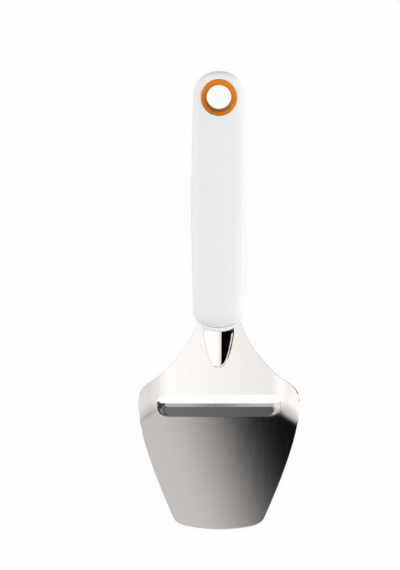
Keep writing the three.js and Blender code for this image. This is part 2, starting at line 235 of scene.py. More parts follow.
world = bpy.data.worlds.new("light tent")
scene.world = world
world.use_nodes = True
background = world.node_tree.nodes["Background"]
background.inputs["Color"].default_value = WHITE


def seen_directly(tree):
    """1 for rays from the camera, from mirrors and through glass, 0 for the light that falls on things."""
    path = tree.nodes.new("ShaderNodeLightPath").outputs
    mirrors = calc(tree, "MAXIMUM", path["Is Glossy Ray"], path["Is Transmission Ray"])
    return calc(tree, "MAXIMUM", path["Is Camera Ray"], mirrors)


def dome_strength(tree):
    """1 where the world is seen. As light it falls off towards the front and the back."""
    ahead = coordinates(tree, "Generated")["Y"]
    fall = calc(tree, "SUBTRACT", 1.0, calc(tree, "MULTIPLY", ahead, ahead))
    light = calc(tree, "MULTIPLY", calc(tree, "POWER", fall, DOME_FALL), DOME)
    return mix(tree, "FLOAT", seen_directly(tree), light, 1.0)


feed(world.node_tree, background.inputs["Strength"], dome_strength(world.node_tree))


def empty_finish(name):
    material = bpy.data.materials.new(name)
    material.use_nodes = True
    material.node_tree.nodes.clear()
    return material, material.node_tree


def floor_finish():
    """Grey paper where light falls on it. Seen directly it glows, and takes a little real light."""
    material, tree = empty_finish("white floor")
    paper = node(tree, "ShaderNodeBsdfDiffuse", FLOOR_PAPER).outputs[0]
    glow = node(tree, "ShaderNodeEmission", WHITE, FLOOR_GLOW).outputs[0]
    shade = node(tree, "ShaderNodeBsdfDiffuse", FLOOR_SHADE).outputs[0]
    shown = node(tree, "ShaderNodeAddShader", glow, shade).outputs[0]
    surface = node(tree, "ShaderNodeMixShader", seen_directly(tree), paper, shown).outputs[0]
    node(tree, "ShaderNodeOutputMaterial", surface)
    return material


half = FLOOR_SIZE / 2
floor_corners = [(-half, -half, 0), (half, -half, 0), (half, half, 0), (-half, half, 0)]
floor = mesh_object("floor", floor_corners, ONE_FACE, floor_finish())
floor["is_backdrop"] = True

for name, x, watts in LAMPS:
    lamp_data = bpy.data.lights.new(name, "AREA")
    lamp_data.shape = "SQUARE"
    lamp_data.size = LAMP_SIZE
    lamp_data.energy = watts
    lamp = bpy.data.objects.new(name, lamp_data)
    lamp.location = (x, LAMP_Y, LAMP_HEIGHT)
    lamp.rotation_euler = (Vector((0, LAMP_Y, 0)) - lamp.location).to_track_quat("-Z", "Y").to_euler()
    lamp.visible_glossy = False
    scene.collection.objects.link(lamp)
print("dome", DOME, "and lamps of", [watts for name, x, watts in LAMPS], "W")

# %% [markdown]
# A polished blade shows its surroundings, so a studio hangs cards round it. Over the blade is a large card
# that shades from white to black: the flat spatula mirrors the part straight above it, and the plate behind
# the slot, which leans back by five degrees, mirrors the bright part in front of it. The left card is white
# in front, where the rib mirrors it, and light grey towards the back. The right card is black in front and
# grey towards the back. A dark grey card behind is what the lip mirrors. A fade below gives its start and
# end on the card, in metres, and the brightness or share at the two.

# %% Shades of the cards
SPATULA_SLANT = 0.375
SPATULA_FADE = (-0.0645, 0.02, 0.755, 0.04)
SPATULA_DIP_TURN = (-0.068, -0.032, 0.0, math.pi)
SPATULA_DIP = -0.045
SPATULA_POWER = 2.15
SPATULA_GAIN = 1.38
SPATULA_BLACK = 0.003
PLATE_FADE = (-0.03, 0.06, 1.42, 1.1)
PLATE_SPREAD = 0.7
PLATE_START = (-0.15, -0.23, 0.0, 1.0)
BEND_GREY = 0.72
BEND_START = (-0.158, -0.185, 0.0, 1.0)
REAR_START = (-0.075, -0.045, 0.0, 1.0)
REAR_FADE = (-0.05, 0.07, 0.24, 0.1)
REAR_LEFT_FADE = (-0.1, -0.36, 0.0, 1.2)
SIDE_BLADE_START = (-0.2, -0.12, 0.0, 1.0)
SIDE_BACK_START = (0.2, 0.42, 0.0, 1.0)
LEFT_LEVELS = (1.45, 1.12, 0.72)
RIGHT_LEVELS = (0.0, 0.07, 0.3)


def rear_shade(tree):
    """Dark grey that falls off a little towards the right, and rises to white on the far left."""
    x = coordinates(tree)["X"]
    grey = remap(tree, x, *REAR_FADE)
    return calc(tree, "MAXIMUM", grey, remap(tree, x, *REAR_LEFT_FADE, "SMOOTHSTEP"))


def spatula_shade(tree, x, y):
    """What the spatula mirrors: light on the left with a soft dip, falling off along a slant to black."""
    slanted = calc(tree, "MULTIPLY_ADD", y, SPATULA_SLANT, x)
    level = remap(tree, slanted, *SPATULA_FADE, "SMOOTHSTEP")
    dip = calc(tree, "SINE", remap(tree, slanted, *SPATULA_DIP_TURN))
    level = calc(tree, "MULTIPLY", level, calc(tree, "MULTIPLY_ADD", dip, SPATULA_DIP, 1.0))
    return calc(tree, "MULTIPLY_ADD", calc(tree, "POWER", level, SPATULA_POWER), SPATULA_GAIN, SPATULA_BLACK)


def overhead_shade(tree):
    """From front to back: white for the plate, grey for the bend, the spatula's shade, the rear card's."""
    place = coordinates(tree)
    x, y = place["X"], place["Y"]
    past_tip = remap(tree, y, *BEND_START, "SMOOTHSTEP")
    near = mix(tree, "FLOAT", past_tip, spatula_shade(tree, x, y), BEND_GREY)
    spread = calc(tree, "MULTIPLY_ADD", calc(tree, "ABSOLUTE", x), PLATE_SPREAD, y)
    forward = remap(tree, spread, *PLATE_START, "SMOOTHSTEP")
    ahead = mix(tree, "FLOAT", forward, near, remap(tree, x, *PLATE_FADE))
    return mix(tree, "FLOAT", remap(tree, y, *REAR_START, "SMOOTHSTEP"), ahead, rear_shade(tree))


def side_shade(levels):
    """A shade with three levels: in front of the blade, beside it, and behind the tool."""
    front, beside, behind = levels

    def shade(tree):
        y = coordinates(tree)["Y"]
        beside_blade = mix(tree, "FLOAT", remap(tree, y, *SIDE_BLADE_START), front, beside)
        return mix(tree, "FLOAT", remap(tree, y, *SIDE_BACK_START), beside_blade, behind)

    return shade


print("side cards from front to back: left", LEFT_LEVELS, "right", RIGHT_LEVELS)

# %% [markdown]
# The overhead card and the rear card meet at a fold behind the blade, and the side cards slope down from
# the overhead card's edges. The right card's front edge is slanted, which leaves the white world open low
# down in front. Only mirrors see the cards, so they neither light the handle nor throw shadows.

# %% Cards for the blade to mirror
CARD_TINT = (1.0, 0.98, 0.965, 1.0)
CARD_TOP = 1.2
CARD_HALF = 0.36
CARD_REACH = 1.4
CARD_FOLD = 0.35
REAR_FOOT = 0.5
SIDE_FOOT = 1.0
LEFT_FOOT_HEIGHT = 0.1
RIGHT_FRONT_TOP = -1.13
RIGHT_FRONT_FOOT = -0.05


def card_finish(name, shade):
    """A glowing card. The shade is a function that builds its brightness in the card's tree."""
    material, tree = empty_finish(name)
    material.cycles.emission_sampling = "NONE"
    glow = node(tree, "ShaderNodeEmission", CARD_TINT)
    feed(tree, glow.inputs["Strength"], shade(tree))
    node(tree, "ShaderNodeOutputMaterial", glow.outputs[0])
    return material


def card(name, shade, *corners):
    made = mesh_object(name, corners, ONE_FACE, card_finish(name, shade))
    made.visible_camera = False
    made.visible_diffuse = False
    made.visible_shadow = False
    made.visible_transmission = False
    made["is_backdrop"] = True


card("overhead card", overhead_shade,
     (-CARD_HALF, -CARD_REACH, CARD_TOP), (CARD_HALF, -CARD_REACH, CARD_TOP),
     (CARD_HALF, CARD_FOLD, CARD_TOP), (-CARD_HALF, CARD_FOLD, CARD_TOP))
card("left card", side_shade(LEFT_LEVELS),
     (-SIDE_FOOT, -CARD_REACH, LEFT_FOOT_HEIGHT), (-CARD_HALF, -CARD_REACH, CARD_TOP),
     (-CARD_HALF, CARD_REACH, CARD_TOP), (-SIDE_FOOT, CARD_REACH, LEFT_FOOT_HEIGHT))
card("right card", side_shade(RIGHT_LEVELS),
     (SIDE_FOOT, CARD_REACH, 0.0), (CARD_HALF, CARD_REACH, CARD_TOP),
     (CARD_HALF, RIGHT_FRONT_TOP, CARD_TOP), (SIDE_FOOT, RIGHT_FRONT_FOOT, 0.0))
card("rear card", rear_shade,
     (-CARD_HALF, CARD_FOLD, CARD_TOP), (CARD_HALF, CARD_FOLD, CARD_TOP),
     (CARD_HALF, CARD_REACH, REAR_FOOT), (-CARD_HALF, CARD_REACH, REAR_FOOT))
print("four cards hung at", CARD_TOP, "m")

# %% [markdown]
# Stainless steel. The sheet is polished, with a fine lengthwise grain from the rolling mill. The
# grain is noise that is stretched along the tool: it changes the roughness a little and tilts the surface a
# very little. The cutting edge is ground, and an attribute of the blade marks it, so that the ground face
# can be rougher and its scratches can run across the edge.

# %% Steel finish
GRAIN_STRETCH = (1.0, 0.03, 1.0)
GRAIN_SCALE = 2600
SCRATCH_STRETCH = (1.0, 0.05, 1.0)
SCRATCH_SCALE = 5200
STEEL_NOISE = (0.3, 0.7)
SHEET_TONES = ((0.705, 0.688, 0.673, 1.0), (0.725, 0.708, 0.693, 1.0))
SHEET_ROUGHNESS = (0.03, 0.05)
GROUND_TONE = (0.52, 0.51, 0.5, 1.0)
GROUND_ROUGHNESS = (0.27, 0.33)
STEEL_BUMP = 0.007
STEEL_BUMP_DEPTH = 0.00002


def new_finish(name):
    material = bpy.data.materials.new(name)
    material.use_nodes = True
    tree = material.node_tree
    return material, tree, tree.nodes["Principled BSDF"].inputs


def stretched_noise(tree, stretch, scale, detail):
    """Noise on the piece's own coordinates, drawn out by a stretch along each axis."""
    place = node(tree, "ShaderNodeTexCoord").outputs["Object"]
    drawn = node(tree, "ShaderNodeMapping", place, None, None, stretch).outputs[0]
    made = node(tree, "ShaderNodeTexNoise", drawn)
    made.inputs["Scale"].default_value = scale
    made.inputs["Detail"].default_value = detail
    return made.outputs[0]


def bump(tree, height, strength, distance):
    made = tree.nodes.new("ShaderNodeBump")
    made.inputs["Strength"].default_value = strength
    made.inputs["Distance"].default_value = distance
    feed(tree, made.inputs["Height"], height)
    return made.outputs[0]


def steel_finish():
    material, tree, shader = new_finish("stainless steel")
    grain = stretched_noise(tree, GRAIN_STRETCH, GRAIN_SCALE, detail=3)
    scratches = stretched_noise(tree, SCRATCH_STRETCH, SCRATCH_SCALE, detail=2)
    ground = node(tree, "ShaderNodeAttribute", attribute_name="ground").outputs["Fac"]
    polished = remap(tree, grain, *STEEL_NOISE, *SHEET_ROUGHNESS)
    cut = remap(tree, scratches, *STEEL_NOISE, *GROUND_ROUGHNESS)
    sheet_tone = mix(tree, "RGBA", remap(tree, grain, *STEEL_NOISE, 0.0, 1.0), *SHEET_TONES)
    feed(tree, shader["Base Color"], mix(tree, "RGBA", ground, sheet_tone, GROUND_TONE))
    feed(tree, shader["Roughness"], mix(tree, "FLOAT", ground, polished, cut))
    shader["Metallic"].default_value = 1.0
    height = mix(tree, "FLOAT", ground, grain, scratches)
    feed(tree, shader["Normal"], bump(tree, height, STEEL_BUMP, STEEL_BUMP_DEPTH))
    return material


steel = steel_finish()
print("finish:", steel.name)

# %% [markdown]
# The blade begins as a flat blank: the outline of the spatula, the neck and the tang, with the slot punched
# out. Half of it is drawn with a few curves, because the two sides are alike. `half_width` gives the
# blank's half width at a distance from the tip, and `tip_line` the shallow curve of the tip.

# %% Outline of the blank
BLADE_HALF = 38.97
TIP_HALF = 21.9
TIP_ROUND = 6
WIDEST_AT = 61.5
SHOULDER_HALF = 32.2
SHOULDER_AT = 72.1
NECK_HALF = 11.2
NECK_AT = 98.4
TANG_HALF = 8
TANG_AT = 112
TANG_END = 166
NOSE_RUN = 8


def curve(start, first, second, end, steps=80):
    """Points of a cubic curve."""
    t = np.linspace(0, 1, steps)[:, None]
    corners = [np.array(corner, float) for corner in (start, first, second, end)]
    weights = [(1 - t) ** 3, 3 * (1 - t) ** 2 * t, 3 * (1 - t) * t**2, t**3]
    return sum(weight * corner for weight, corner in zip(weights, corners))


side = np.vstack([
    curve((TIP_HALF, TIP_ROUND), (30.5, 25), (BLADE_HALF, 46.5), (BLADE_HALF, WIDEST_AT)),
    curve((BLADE_HALF, WIDEST_AT), (BLADE_HALF, 67), (36.7, 69.4), (SHOULDER_HALF, SHOULDER_AT)),
    curve((SHOULDER_HALF, SHOULDER_AT), (23.6, 77.3), (13.5, 90.4), (NECK_HALF, NECK_AT)),
    curve((NECK_HALF, NECK_AT), (9.9, 103), (TANG_HALF, 106), (TANG_HALF, TANG_AT)),
    curve((TANG_HALF, TANG_END - NOSE_RUN), (TANG_HALF, 163), (7, TANG_END - 0.2), (5, TANG_END)),
])
tip = np.vstack([
    curve((0, 0), (6, 0.1), (11.6, 0.8), (15.7, 1.7)),
    curve((15.7, 1.7), (18.4, 2.4), (20.6, 3.3), (TIP_HALF, TIP_ROUND)),
])


def half_width(y):
    return float(np.interp(y, side[:, 1], side[:, 0]))


def tip_line(x):
    return float(np.interp(abs(x), tip[:, 0], tip[:, 1]))


print("half widths at 40, 62 and 95 mm:", [round(half_width(y), 2) for y in (40, 62, 95)])

# %% [markdown]
# Three lines shape the slot: the bend of the lip, the cutting edge, and the back of the opening. Each is a
# straight line whose ends turn to meet the others. The lip sinks in an even slope from its bend to its
# edge. Round its two ends the slope gives way to a steeper wall, with a soft crease between them and a
# small fillet at the bend.

# %% Slot and lip
SLOT_HALF = 29.75
SLOT_LEVEL = 62.2
SLOT_BACK = 65.35
SLOT_CORNER = 2.4
EDGE_LINE = 61.15
EDGE_HALF = 25.9
EDGE_CORNER = 28.2
GRIND_FADE = 0.4
LIP_LINE = 55.0
LIP_CORNER = 6.25
LIP_CORNER_STEPS = 600
LIP_DROP = 2.2
LIP_POWER = 2.4
LIP_FILLET = 0.07
END_WALL_START = 56.8
END_WALL_SPREAD = 0.5
LEAST_WALL = (0.1, 0.35)
CREASE = 0.9
BEVEL = 2.05


def clamp(value, low, high):
    return max(low, min(value, high))


def ease(value, low, high):
    """Rises smoothly from 0 at low to 1 at high."""
    t = clamp((value - low) / (high - low), 0, 1)
    return t * t * (3 - 2 * t)


def blend(a, b, share):
    return a + (b - a) * share


def arch(x, start, run, power=2.0):
    """1 in the middle, falling to 0 at the end of a rounded corner. A power above 2 makes it fuller."""
    return (1 - clamp((abs(x) - start) / run, 0, 1) ** power) ** (1 / power)


def lip_line(x):
    return blend(SLOT_LEVEL, LIP_LINE, arch(x, SLOT_HALF - LIP_CORNER, LIP_CORNER, LIP_POWER))


def edge_line(x):
    return blend(EDGE_LINE, SLOT_LEVEL, clamp((abs(x) - EDGE_CORNER) / (SLOT_HALF - EDGE_CORNER), 0, 1))


def slot_back(x):
    return blend(SLOT_LEVEL, SLOT_BACK, arch(x, SLOT_HALF - SLOT_CORNER, SLOT_CORNER))


def grind_share(x):
    return 1 - ease(abs(x), EDGE_HALF - GRIND_FADE, EDGE_HALF + GRIND_FADE)


corner_turn = np.linspace(0, math.pi / 2, LIP_CORNER_STEPS)
corner_x = SLOT_HALF - LIP_CORNER + LIP_CORNER * np.sin(corner_turn) ** (2 / LIP_POWER)
corner_y = SLOT_LEVEL - (SLOT_LEVEL - LIP_LINE) * np.abs(np.cos(corner_turn)) ** (2 / LIP_POWER)


def from_bend(x, y):
    """Distance of a point of the lip from the line where the lip bends down."""
    if abs(x) < SLOT_HALF - LIP_CORNER:
        return y - LIP_LINE
    return float(np.min(np.hypot(corner_x - abs(x), corner_y - y)))


def lip_depth(x, y):
    """Depth of the lip: an even slope to its edge, with an end wall that widens from the bend to the slot."""
    slope = LIP_DROP * (y - LIP_LINE) / (EDGE_LINE - LIP_LINE)
    corner_share = ease(abs(x), SLOT_HALF - LIP_CORNER, SLOT_HALF - LIP_CORNER / 2)
    beyond = y - END_WALL_START
    widening = END_WALL_SPREAD * (beyond + math.hypot(beyond, 1)) / 2
    wall = blend(*LEAST_WALL, corner_share) + widening * corner_share
    across = from_bend(x, y) / wall
    soft = max(CREASE - abs(1 - across), 0) ** 2 / (4 * CREASE)
    sunk = max(slope * (min(across, 1) - soft), 0)
    return math.hypot(sunk, LIP_FILLET) - LIP_FILLET


print("the slot is", round(2 * SLOT_HALF, 1), "mm long and", round(SLOT_BACK - EDGE_LINE, 2), "mm wide")

# %% [markdown]
# The blank is a net of rows and columns, because a node tree can then press it by moving its points. Points
# that fall together are kept once, so rows that meet share them. A leg is (from, to, steps).

# %% Net of the blank
FINE_HALF = 9
CORNER_COLUMNS = 14
FAN_SHARE = 0.93

blank_points = []
blank_lip = []
blank_ground = []
blank_faces = []
known_points = {}


def blank_point(x, y, lip=0.0, ground=0.0):
    key = (round(x, 4), round(y, 4))
    if key not in known_points:
        known_points[key] = len(blank_points)
        blank_points.append((x, y))
        blank_lip.append(lip)
        blank_ground.append(ground)
    return known_points[key]


def fill(rows):
    """Faces between neighbouring rows. Corners that fall together are dropped."""
    for near, far in zip(rows, rows[1:]):
        for j in range(len(near) - 1):
            face = list(dict.fromkeys([near[j], near[j + 1], far[j + 1], far[j]]))
            if len(face) > 2:
                blank_faces.append(face)


def legs(*parts):
    """A list of stations from legs that follow each other."""
    stations = [parts[0][0]]
    for start, end, steps in parts:
        stations += [blend(start, end, (i + 1) / steps) for i in range(steps)]
    return stations


def blade_columns():
    """Columns as shares of the half width, closer in the middle and round the slot's corners."""
    corner = SLOT_HALF - LIP_CORNER
    right = legs((0, FINE_HALF, 24), (FINE_HALF, corner, 18))
    quarter = [i * math.pi / (2 * CORNER_COLUMNS) for i in range(1, CORNER_COLUMNS + 1)]
    right += [corner + LIP_CORNER * math.sin(turn) for turn in quarter]
    right += legs((SLOT_HALF, BLADE_HALF, 10))[1:]
    return [x / BLADE_HALF for x in [-x for x in reversed(right[1:])] + right]


def fan(share, near_slot):
    """Moves a column outwards away from the slot, so that the net fans out round the slot's ends."""
    away = np.interp(abs(share), (0, SLOT_HALF / BLADE_HALF, 1), (0, FAN_SHARE, 1))
    return blend(math.copysign(away, share), share, near_slot)


columns = blade_columns()
print("net of", len(columns), "columns")

# %% [markdown]
# Rows bend round the tip and round the slot, so the net's lines are the edges of the shape and nothing
# is cut. Two attributes go with it: `lip`, the share of the lip's full drop at a point, and `ground`, where
# the edge is ground.

# %% Blank
FIRST_STEP = 0.4
GRIND_START = 1 - BEVEL / (EDGE_LINE - LIP_LINE)
SPATULA_LEGS = ((TIP_ROUND, TIP_ROUND + FIRST_STEP, 1), (TIP_ROUND + FIRST_STEP, 18, 10), (18, 46, 14),
                (46, SLOT_LEVEL, 18))
LIP_LEGS = ((0, 0.08, 4), (0.08, GRIND_START, 12), (GRIND_START, 1, 6))
NECK_LEGS = ((SLOT_LEVEL, SLOT_LEVEL + FIRST_STEP, 1), (SLOT_LEVEL + FIRST_STEP, SHOULDER_AT, 14),
             (SHOULDER_AT, 78, 7), (78, 83, 30), (83, 110, 36),
             (110, TANG_END - NOSE_RUN, 12), (TANG_END - NOSE_RUN, TANG_END, 10))
ROUND_OFF = 1e-6


def spatula_point(share, y):
    tip_fade = 1 - ease(y, TIP_ROUND, 4 * TIP_ROUND)
    slot_fade = clamp(1 - (SLOT_LEVEL - y) / (3 * (SLOT_LEVEL - LIP_LINE)), 0, 1)
    tip_shift = (tip_line(fan(share, slot_fade) * TIP_HALF) - TIP_ROUND) * tip_fade
    slot_shift = (lip_line(share * half_width(SLOT_LEVEL)) - SLOT_LEVEL) * slot_fade
    return blank_point(fan(share, slot_fade) * half_width(y), y + tip_shift + slot_shift)


def lip_point(share, along):
    x = share * half_width(SLOT_LEVEL)
    y = blend(lip_line(x), edge_line(x), along)
    ground = clamp((along - GRIND_START) / (1 - GRIND_START), 0, 1) * grind_share(x)
    return blank_point(x, y, lip_depth(x, y) / LIP_DROP, ground)


def neck_point(share, y):
    slot_fade = 1 - ease(y, SLOT_LEVEL, SHOULDER_AT)
    slot_shift = (slot_back(share * half_width(SLOT_LEVEL)) - SLOT_LEVEL) * slot_fade
    return blank_point(fan(share, slot_fade) * half_width(y), y + slot_shift)


slot_columns = [share for share in columns if abs(share * BLADE_HALF) <= SLOT_HALF + ROUND_OFF]
for point_at, shares, parts in (
    (spatula_point, columns, SPATULA_LEGS),
    (lip_point, slot_columns, LIP_LEGS),
    (neck_point, columns, NECK_LEGS),
):
    fill([[point_at(share, along) for share in shares] for along in legs(*parts)])
blade = mesh_object("pressed_blade", [(x * MM, y * MM, 0) for x, y in blank_points], blank_faces, steel)
for name, values in (("lip", blank_lip), ("ground", blank_ground)):
    blade.data.attributes.new(name, "FLOAT", "POINT").data.foreach_set("value", values)
print("blank:", len(blank_points), "points", len(blank_faces), "faces")

# %% [markdown]
# Two geometry node trees shape the blade. Every size is a named input of its tree, which can be turned by
# hand in Blender until the piece is settled.

# %% Tree helpers


def new_tree(name, sizes):
    """An empty geometry tree with named inputs."""
    tree = bpy.data.node_groups.new(name, "GeometryNodeTree")
    tree.interface.new_socket("Geometry", in_out="OUTPUT", socket_type="NodeSocketGeometry")
    tree.interface.new_socket("Geometry", in_out="INPUT", socket_type="NodeSocketGeometry")
    for size, value in sizes.items():
        socket = tree.interface.new_socket(size, in_out="INPUT", socket_type="NodeSocketFloat")
        socket.default_value = value
    return tree


def end_tree(tree, geometry):
    """Ends a tree with plain geometry in steel."""
    real = node(tree, "GeometryNodeRealizeInstances", geometry).outputs[0]
    finished = node(tree, "GeometryNodeSetMaterial", real)
    finished.inputs["Material"].default_value = steel
    node(tree, "NodeGroupOutput", finished.outputs[0])


def run_tree(piece, tree):
    """Puts a tree on a piece, and keeps the result as a plain mesh."""
    modifier = piece.modifiers.new(tree.name, "NODES")
    modifier.node_group = tree
    settle(piece)


print("tree helpers ready")

# %% [markdown]
# The press reads each point's place on the blank and works out one height: the bend that lifts the neck to
# the handle, the domed rib that stiffens the neck, and the sunken lip.

# %% Press tree
LEAN = math.radians(5)
BEND = (55, 65.5)
RIB_PLAN_POWER = 0.39
RIB_LEAST_SHARE = 0.0005
RIB_SKIRT_POWER = 6.0
PRESS_SIZES = {
    "Lean": LEAN,
    "Bend start": BEND[0] * MM,
    "Bend end": BEND[1] * MM,
    "Shoulder lift": 0.7,
    "Shoulder start": 25 * MM,
    "Shoulder end": 33 * MM,
    "Rib end": 78.7 * MM,
    "Rib full": 95.5 * MM,
    "Rib half": 7.0 * MM,
    "Rib rise": 3.1 * MM,
    "Rib edge": 0.85,
    "Rib fillet": 0.12 * MM,
    "Rib fade start": 102 * MM,
    "Rib fade end": 110 * MM,
    "Lip drop": LIP_DROP * MM,
}


def eased_run(tree, past_start, run):
    """0 before the start, then a parabola over the run, then a straight line of slope 1."""
    curved = node(tree, "ShaderNodeClamp", past_start, 0.0, run).outputs[0]
    arc = calc(tree, "DIVIDE", calc(tree, "MULTIPLY", curved, curved), calc(tree, "MULTIPLY", run, 2.0))
    straight = calc(tree, "MAXIMUM", calc(tree, "SUBTRACT", past_start, run), 0.0)
    return calc(tree, "ADD", arc, straight)


def bend_height(tree, x, y, size):
    """Flat, then curved, then a straight rise. Beside the slot the bend swings towards the tip."""
    past_shoulder = calc(tree, "SUBTRACT", calc(tree, "ABSOLUTE", x), size["Shoulder start"])
    shoulder_run = calc(tree, "SUBTRACT", size["Shoulder end"], size["Shoulder start"])
    swing = calc(tree, "MULTIPLY", eased_run(tree, past_shoulder, shoulder_run), size["Shoulder lift"])
    past_bend = calc(tree, "SUBTRACT", calc(tree, "ADD", y, swing), size["Bend start"])
    bend_run = calc(tree, "SUBTRACT", size["Bend end"], size["Bend start"])
    return calc(tree, "MULTIPLY", calc(tree, "TANGENT", size["Lean"]), eased_run(tree, past_bend, bend_run))


def rib_height(tree, x, y, size):
    """A dome of even curvature on a blunt plan, with a steep edge and a small fillet at its foot."""
    share = remap(tree, y, size["Rib end"], size["Rib full"], 0.0, 1.0)
    wide = calc(tree, "MAXIMUM", share, RIB_LEAST_SHARE)
    half_rib = calc(tree, "MULTIPLY", size["Rib half"], calc(tree, "POWER", wide, RIB_PLAN_POWER))
    across = calc(tree, "ABSOLUTE", calc(tree, "DIVIDE", x, half_rib))
    narrow = calc(tree, "DIVIDE", half_rib, size["Rib half"])
    crown = calc(tree, "MULTIPLY", size["Rib rise"], calc(tree, "MULTIPLY", narrow, narrow))
    dome = calc(tree, "MULTIPLY", crown, calc(tree, "SUBTRACT", 1.0, calc(tree, "POWER", across, 2.0)))
    dome_edge = calc(tree, "DIVIDE", calc(tree, "MULTIPLY", crown, 2.0), half_rib)
    spare_edge = calc(tree, "MAXIMUM", calc(tree, "SUBTRACT", size["Rib edge"], dome_edge), 0.0)
    skirt = calc(tree, "MULTIPLY", calc(tree, "MULTIPLY", spare_edge, half_rib), 1 / RIB_SKIRT_POWER)
    inside = calc(tree, "SUBTRACT", 1.0, calc(tree, "POWER", across, RIB_SKIRT_POWER))
    before = calc(tree, "MAXIMUM", calc(tree, "SUBTRACT", size["Rib end"], y), 0.0)
    form = calc(tree, "SUBTRACT", calc(tree, "ADD", dome, calc(tree, "MULTIPLY", skirt, inside)), before)
    filleted = calc(tree, "SMOOTH_MAX", form, 0.0, size["Rib fillet"])
    fade = remap(tree, y, size["Rib fade start"], size["Rib fade end"], 1.0, 0.0, "SMOOTHSTEP")
    return calc(tree, "MULTIPLY", filleted, fade)


def press_tree():
    tree = new_tree("press the blade", PRESS_SIZES)
    given = tree.nodes.new("NodeGroupInput").outputs
    place = node(tree, "ShaderNodeSeparateXYZ", node(tree, "GeometryNodeInputPosition").outputs[0]).outputs
    x, y = place["X"], place["Y"]
    sunk = node(tree, "GeometryNodeInputNamedAttribute", "lip", data_type="FLOAT").outputs[0]
    raised = calc(tree, "ADD", bend_height(tree, x, y, given), rib_height(tree, x, y, given))
    height = calc(tree, "SUBTRACT", raised, calc(tree, "MULTIPLY", sunk, given["Lip drop"]))
    offset = node(tree, "ShaderNodeCombineXYZ", 0.0, 0.0, height).outputs[0]
    pressed = node(tree, "GeometryNodeSetPosition", given["Geometry"])
    feed(tree, pressed.inputs["Offset"], offset)
    end_tree(tree, pressed.outputs[0])
    return tree


run_tree(blade, press_tree())
heights = [point.co.z / MM for point in blade.data.vertices]
print("pressed: lowest", round(min(heights), 2), "highest", round(max(heights), 2), "mm")

# %% [markdown]
# The pressed blank is the middle of the sheet. Each point gives one point above and one below, square to
# the surface, and a wall joins them round every rim. On the lip the wheel takes the top away, down to a
# thin land: that is the cutting edge. A small bevel then breaks the rims, as tumbling does after stamping,
# but not the cutting edge and the slot's two ends.

# %% Sheet with thickness
EDGE_LAND = 0.15
RIM_ROUND = 0.045
RIM_STEPS = 2
SLOT_END = 1.2
GROUND_FROM = 0.02
SHARP_FROM = 0.05


def rim_edges(faces):
    """Directed edges that only one face has."""
    edges = {(a, b) for face in faces for a, b in zip(face, face[1:] + face[:1])}
    return [(a, b) for a, b in edges if (b, a) not in edges]


def read_values(values, kind, width):
    """Values of a mesh's points, with a row for each point."""
    read = np.empty(len(values) * width, np.float32)
    values.foreach_get(kind, read)
    return read.reshape(-1, width)


def thicken(piece):
    count = len(piece.data.vertices)
    points = read_values(piece.data.vertices, "co", 3)
    normals = read_values(piece.data.vertex_normals, "vector", 3)
    ground = read_values(piece.data.attributes["ground"].data, "value", 1)[:, 0]
    faces = [list(face.vertices) for face in piece.data.polygons]
    lift = (SHEET / 2 - ground * (SHEET - EDGE_LAND)) * MM
    top = points + normals * lift[:, None]
    bottom = points - normals * (SHEET / 2 * MM)
    under = [[index + count for index in reversed(face)] for face in faces]
    rims = rim_edges(faces)
    walls = [[b, a, a + count, b + count] for a, b in rims]
    made = mesh_object(piece.name, np.vstack([top, bottom]), faces + under + walls, steel)
    marks = np.concatenate([np.where(ground > GROUND_FROM, 1.0, 0.0), np.zeros(count)])
    made.data.attributes.new("ground", "FLOAT", "POINT").data.foreach_set("value", marks.astype(np.float32))
    from_slot_end = np.hypot(abs(points[:, 0]) - SLOT_HALF * MM, points[:, 1] - SLOT_LEVEL * MM)
    sharp = set(np.nonzero((ground > SHARP_FROM) | (from_slot_end < SLOT_END * MM))[0])
    broken = {frozenset(edge) for edge in rims if not sharp & set(edge)}
    broken |= {frozenset((a + count, b + count)) for a, b in rims if not sharp & {a, b}}
    weights = [1.0 if frozenset(edge.vertices) in broken else 0.0 for edge in made.data.edges]
    made.data.attributes.new("bevel_weight_edge", "FLOAT", "EDGE").data.foreach_set("value", weights)
    bpy.data.objects.remove(piece)
    return made


blade = thicken(blade)
blade.name = "pressed_blade"
rim = blade.modifiers.new("broken rims", "BEVEL")
rim.limit_method = "WEIGHT"
rim.width = RIM_ROUND * MM
rim.segments = RIM_STEPS
rim.use_clamp_overlap = False
settle(blade)
print("sheet:", len(blade.data.polygons), "faces")

# %% [markdown]
# Three holes in the tang lock it into the moulded handle. They repeat at an even step, so a second tree
# makes them: a line of points, a punch on each point, and a cut. The handle hides them.

# %% Punch tree
HOLES = 3
PUNCH_SIDES = 48
PUNCH_SIZES = {
    "First hole": 117 * MM,
    "Step": 18 * MM,
    "Radius": 3 * MM,
    "Height": 5.35 * MM,
    "Depth": 20 * MM,
}


